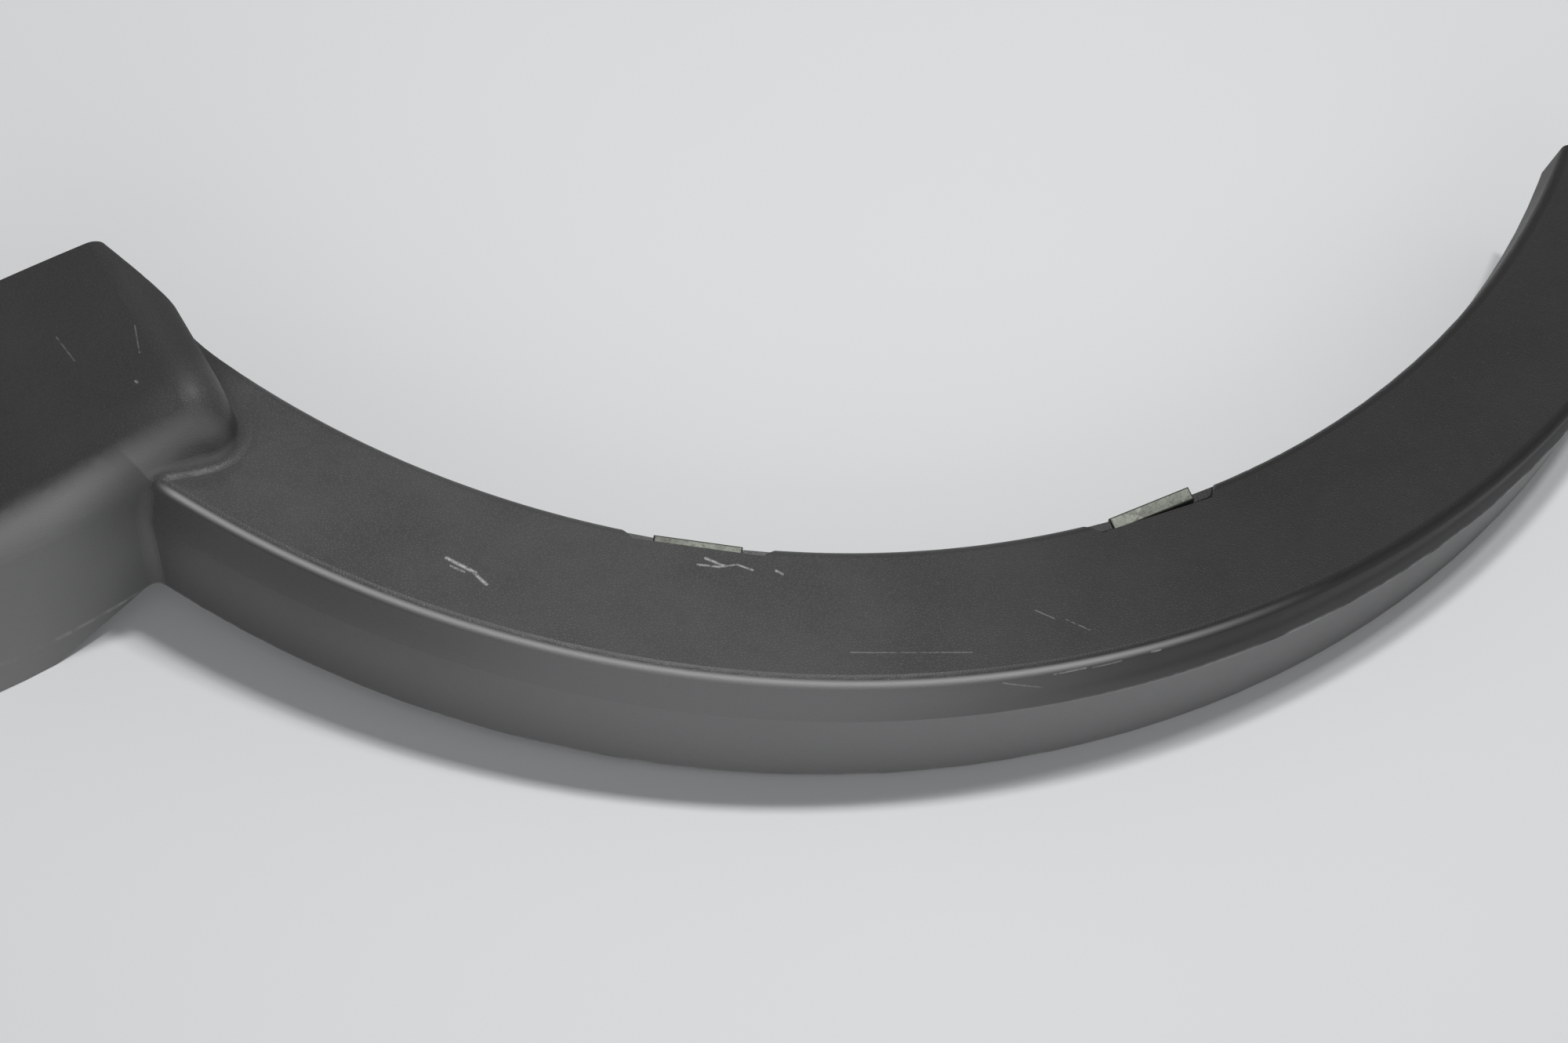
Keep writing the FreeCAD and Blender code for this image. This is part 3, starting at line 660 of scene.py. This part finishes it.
@dataclass
class ArchMoulding:
    """The plastic moulding, with the cove that opens under its ridge towards the tip."""

    node: str = "arch_moulding"
    finish: GrainedPlastic = field(default_factory=GrainedPlastic)
    ridge: Span = (432.5, 12.3)
    crease: Span = (437.6, -12.0)
    cove_top: float = 8.37
    cove_depth: float = 1.8
    cove_start: float = -0.5
    cove_full: float = 0.35
    cove_rings: int = 15
    cove_peak: float = 27.0 / 4.0
    fit: float = 0.06
    ridge_end: Spot = (-374.85, -216.42, 10.70)
    panel_up: Spot = (-0.33, 0.10, 0.94)
    ridge_end_reach: float = 6.5

    def skirt_radius(self, height: float) -> float:
        """Radius of the plain skirt at a height, in millimetres of the wheel's frame."""
        share = (self.ridge[1] - height) / (self.ridge[1] - self.crease[1])
        return self.ridge[0] + (self.crease[0] - self.ridge[0]) * share

    def skirt_point(self, angle: float, height: float) -> Vector:
        """A point of the skirt, sunk by the cove.

        Args:
            angle: angle from the crown.
            height: height over the opening's edge.

        Returns:
            The point, in millimetres of the wheel's frame.
        """
        run = (self.cove_top - height) / (self.cove_top - self.crease[1])
        run = min(max(run, 0.0), 1.0)
        share = min(max((angle - self.cove_start) / (self.cove_full - self.cove_start), 0.0), 1.0)
        share = share * share * (3.0 - 2.0 * share)
        radius = self.skirt_radius(height) - self.cove_depth * share * self.cove_peak * run * run * (1.0 - run)
        return Vector((radius * math.sin(angle), -radius * math.cos(angle), height))

    def skirt_normal(self, angle: float, height: float) -> Vector:
        """The way the coved skirt faces at a place, on the table."""
        height = min(max(height, self.crease[1] + 0.02), self.cove_top - 0.02)
        up = self.skirt_point(angle, height + 0.01) - self.skirt_point(angle, height - 0.01)
        along = self.skirt_point(angle + 0.0005, height) - self.skirt_point(angle - 0.0005, height)
        return LAY.direction(*along.cross(up)).normalized()

    def skirt_place(self, spot: Vector) -> Span | None:
        """Angle and height of a point that lies on the skirt between ridge and crease.

        Args:
            spot: a point on the table, in metres.

        Returns:
            The angle and the height, or None for a point elsewhere.
        """
        place = LAY.matrix().inverted() @ spot * MILLIMETRES
        angle = math.atan2(place.x, -place.y)
        off = abs(math.hypot(place.x, place.y) - self.skirt_radius(place.z))
        inside = self.crease[1] - self.fit < place.z < self.cove_top + self.fit
        return (angle, place.z) if inside and off < self.fit and angle > self.cove_start - 0.1 else None

    def level_ridge_end(self, mesh: bmesh.types.BMesh, kept: bmesh.types.BMLayerItem) -> None:
        """Lays the end of the ridge level with the top of the bumper corner.

        Args:
            mesh: the moulding.
            kept: the layer of its corner normals.
        """
        to_wheel = LAY.matrix().inverted()
        foot = Vector(self.ridge_end)
        up = Vector(self.panel_up).normalized()
        offsets = {corner: to_wheel @ corner.co * MILLIMETRES - foot for corner in mesh.verts}
        near = {corner for corner, offset in offsets.items() if offset.length < self.ridge_end_reach}
        for corner in near:
            rise = offsets[corner].dot(up)
            if rise > self.fit:
                corner.co = LAY.point(*(foot + offsets[corner] - up * rise))
        for face in mesh.faces:
            if all(corner in near for corner in face.verts):
                for loop in face.loops:
                    loop[kept] = LAY.direction(*up)

    def build(self) -> bpy.types.Object:
        """Copies the moulding, cuts rings round its skirt and sinks them to the cove.

        Returns:
            The moulding with its cove.
        """
        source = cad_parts[self.node].data
        mesh = bmesh.new()
        mesh.from_mesh(source)
        kept = mesh.loops.layers.float_vector.new("kept_normal")
        for face, plain in zip(mesh.faces, source.polygons):
            for loop, index in zip(face.loops, plain.loop_indices):
                loop[kept] = source.corner_normals[index].vector
        bmesh.ops.remove_doubles(mesh, verts=mesh.verts, dist=1e-6)
        skirt = [face for face in mesh.faces if all(self.skirt_place(v.co) for v in face.verts)]
        for ring in range(1, self.cove_rings):
            height = self.cove_top + (self.crease[1] - self.cove_top) * ring / self.cove_rings
            edges = {edge for face in skirt for edge in face.edges}
            corners = {corner for face in skirt for corner in face.verts}
            bmesh.ops.bisect_plane(mesh, geom=[*skirt, *edges, *corners], dist=1e-7,
                                   plane_co=LAY.point(0.0, 0.0, height), plane_no=LAY.direction(0.0, 0.0, 1.0))
            skirt = [face for face in mesh.faces if all(self.skirt_place(v.co) for v in face.verts)]
        for face in skirt:
            for loop in face.loops:
                loop[kept] = self.skirt_normal(*self.skirt_place(loop.vert.co))
        for corner in {corner for face in skirt for corner in face.verts}:
            corner.co = LAY.point(*self.skirt_point(*self.skirt_place(corner.co)))
        LOG.info("cove cut in %d faces of the skirt", len(skirt))
        self.level_ridge_end(mesh, kept)
        data = bpy.data.meshes.new("arch_moulding_shell")
        mesh.to_mesh(data)
        mesh.free()
        normals = [tuple(corner.vector) for corner in data.attributes["kept_normal"].data]
        data.normals_split_custom_set(normals)
        data.attributes.remove(data.attributes["kept_normal"])
        shell = bpy.data.objects.new("arch_moulding_shell", data)
        bpy.context.scene.collection.objects.link(shell)
        return shell

    def dress(self, effects: Effects) -> None:
        """Builds the moulding and gives it its plastic.

        Args:
            effects: the shared node groups.
        """
        material = self.finish.material(effects)
        shell = self.build()
        shell.data.materials.clear()
        shell.data.materials.append(material)
        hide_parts(self.node)
        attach(shell, "root")
        LOG.info("%s dressed in %s", self.node, material.name)


@dataclass
class SpringClip:
    """A folded steel clip with a collar pressed up round its screw hole."""

    node: str
    angle_degrees: float
    lean_degrees: float
    leg_radius: float = 373.6
    seat: float = -4.5
    length: float = 33.0
    screw_drop: float = 11.0
    hole_radius: float = 2.5
    collar_wall: float = 0.8
    collar_height: float = 1.4
    collar_flare: float = 1.1
    collar_edge: float = 0.2
    collar_steps: int = 40

    def hole_centre(self) -> tuple[Vector, Vector]:
        """Middle of the hole on the leg that faces the wheel, and the way out of it, on the table.

        Returns:
            The point and the unit direction.
        """
        lean = math.radians(self.lean_degrees)
        half = self.length / 2.0
        along = -half + half * math.cos(lean) + self.screw_drop * math.sin(lean)
        height = self.seat + half * math.sin(lean) - self.screw_drop * math.cos(lean)
        polar = math.radians(self.angle_degrees - 90.0)
        out = Vector((math.cos(polar), math.sin(polar), 0.0))
        side = Vector((-math.sin(polar), math.cos(polar), 0.0))
        spot = out * self.leg_radius + side * along
        return LAY.point(spot.x, spot.y, height), LAY.direction(-out.x, -out.y, 0.0).normalized()

    def build_collar(self) -> bpy.types.Object:
        """Spins the collar's rounded section about the screw hole.

        Returns:
            The collar.
        """
        centre, out = self.hole_centre()
        inner = self.hole_radius / MILLIMETRES
        outer = inner + self.collar_wall / MILLIMETRES
        top = self.collar_height / MILLIMETRES
        flare = outer + self.collar_flare / MILLIMETRES
        edge = outer - self.collar_edge / MILLIMETRES
        section = ((inner, 0.0), (inner, top), (edge, top), (outer, top * 0.75), (outer, top * 0.3), (flare, 0.0))
        mesh = bmesh.new()
        corners = [mesh.verts.new((reach, 0.0, rise)) for reach, rise in section]
        ring = [mesh.edges.new((a, b)) for a, b in zip(corners, corners[1:] + corners[:1])]
        bmesh.ops.spin(mesh, geom=corners + ring, cent=(0.0, 0.0, 0.0), axis=(0.0, 0.0, 1.0), angle=math.tau,
                       steps=self.collar_steps, use_merge=True)
        bmesh.ops.remove_doubles(mesh, verts=mesh.verts, dist=1e-7)
        bmesh.ops.recalc_face_normals(mesh, faces=mesh.faces)
        stand = Matrix.Translation(centre) @ out.to_track_quat("Z", "Y").to_matrix().to_4x4()
        bmesh.ops.transform(mesh, matrix=stand, verts=mesh.verts)
        for face in mesh.faces:
            face.smooth = True
        data = bpy.data.meshes.new(f"{self.node}_collar")
        mesh.to_mesh(data)
        mesh.free()
        collar = bpy.data.objects.new(f"{self.node}_collar", data)
        bpy.context.scene.collection.objects.link(collar)
        return collar

    def dress(self, steel: bpy.types.Material) -> None:
        """Adds the collar and gives clip and collar their steel.

        Args:
            steel: the plated steel.
        """
        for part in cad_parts[self.node].material_slots:
            part.link = "OBJECT"
            part.material = steel
        collar = self.build_collar()
        collar.data.materials.append(steel)
        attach(collar, "root")
        LOG.info("%s dressed, with its collar", self.node)


@dataclass(frozen=True)
class Lamp:
    """A rectangular lamp that faces a point, in metres and watts."""

    name: str
    spot: Spot
    aim: Spot
    width: float
    depth: float
    power: float

    def hang(self) -> None:
        """Puts the lamp in the scene."""
        data = bpy.data.lights.new(self.name, "AREA")
        data.shape = "RECTANGLE"
        data.size = self.width
        data.size_y = self.depth
        data.energy = self.power
        lamp = bpy.data.objects.new(self.name, data)
        lamp.location = self.spot
        lamp.rotation_euler = (Vector(self.aim) - Vector(self.spot)).to_track_quat("-Z", "Y").to_euler()
        bpy.context.scene.collection.objects.link(lamp)


LAMPS: tuple[Lamp, ...] = (
    Lamp("key", (0.15, 0.25, 1.80), (0.0, 0.0, 0.0), 0.11, 0.11, 14.0),
    Lamp("second key", (0.39, 0.15, 1.80), (0.0, 0.0, 0.0), 0.11, 0.11, 8.0),
    Lamp("fill", (-0.9, -2.6, 1.8), (-0.05, 0.0, 0.03), 2.0, 1.4, 11.0),
)


@dataclass
class Studio:
    """The pale table, the soft light and the camera."""

    table_tone: Colour = (0.71, 0.72, 0.725, 1.0)
    table_shade: float = 0.96
    table_reach: float = 6.0
    sky_tone: Colour = (0.97, 0.985, 1.0, 1.0)
    sky: float = 0.30
    eye: Spot = (-318.0, -620.0, 669.5)
    right: Spot = (0.9337, -0.3323, 0.1334)
    forward: Spot = (0.2591, 0.3697, -0.8923)
    sensor_width: float = 36.0
    focal_share: float = 1.3

    def build(self) -> None:
        """Sets up the table, the light and the camera."""
        self._table()
        self._lights()
        self._camera()
        bpy.context.scene.view_settings.view_transform = "Standard"
        LOG.info("studio ready")

    def _table(self) -> None:
        """A wide pale table with a faint unevenness."""
        mesh = bmesh.new()
        bmesh.ops.create_grid(mesh, x_segments=1, y_segments=1, size=self.table_reach)
        data = bpy.data.meshes.new("table")
        mesh.to_mesh(data)
        mesh.free()
        table = bpy.data.objects.new("table", data)
        bpy.context.scene.collection.objects.link(table)
        material, sheet, shader = new_material("pale table")
        position = sheet.tree.nodes.new("ShaderNodeTexCoord").outputs["Object"]
        shade = tuple(value * self.table_shade for value in self.table_tone[:3]) + (1.0,)
        sheet.feed(shader.inputs["Base Color"], sheet.mix(sheet.noise(position, 3.0), self.table_tone, shade))
        shader.inputs["Roughness"].default_value = 0.6
        table.data.materials.append(material)

    def _lights(self) -> None:
        """Two lamps overhead, a large soft one from the near side, and an even sky."""
        for lamp in LAMPS:
            lamp.hang()
        world = bpy.data.worlds.new("even sky")
        bpy.context.scene.world = world
        world.use_nodes = True
        background = world.node_tree.nodes["Background"]
        background.inputs["Color"].default_value = self.sky_tone
        background.inputs["Strength"].default_value = self.sky

    def _camera(self) -> None:
        """The camera above the bumper corner, looking down along the arch."""
        data = bpy.data.cameras.new("camera")
        data.sensor_fit = "HORIZONTAL"
        data.sensor_width = self.sensor_width
        data.lens = self.sensor_width * self.focal_share
        data.clip_start = 0.01
        camera = bpy.data.objects.new("camera", data)
        ahead = LAY.direction(*self.forward).normalized()
        across = LAY.direction(*self.right)
        across = (across - ahead * across.dot(ahead)).normalized()
        up = across.cross(ahead)
        turn = Matrix((across, up, -ahead)).transposed()
        camera.matrix_world = Matrix.Translation(LAY.point(*self.eye)) @ turn.to_4x4()
        bpy.context.scene.collection.objects.link(camera)
        bpy.context.scene.camera = camera


def main() -> None:
    """Dresses the moulding and the clips, and lays them on the table."""
    logging.basicConfig(level=logging.INFO)
    effects = Effects()
    ArchMoulding().dress(effects)
    steel = ZincSteel().material(effects)
    SpringClip("spring_clip_left", -24.6, 0.0).dress(steel)
    SpringClip("spring_clip_right", 2.2, 13.0).dress(steel)
    Studio().build()


if __name__ == "__main__":
    main()
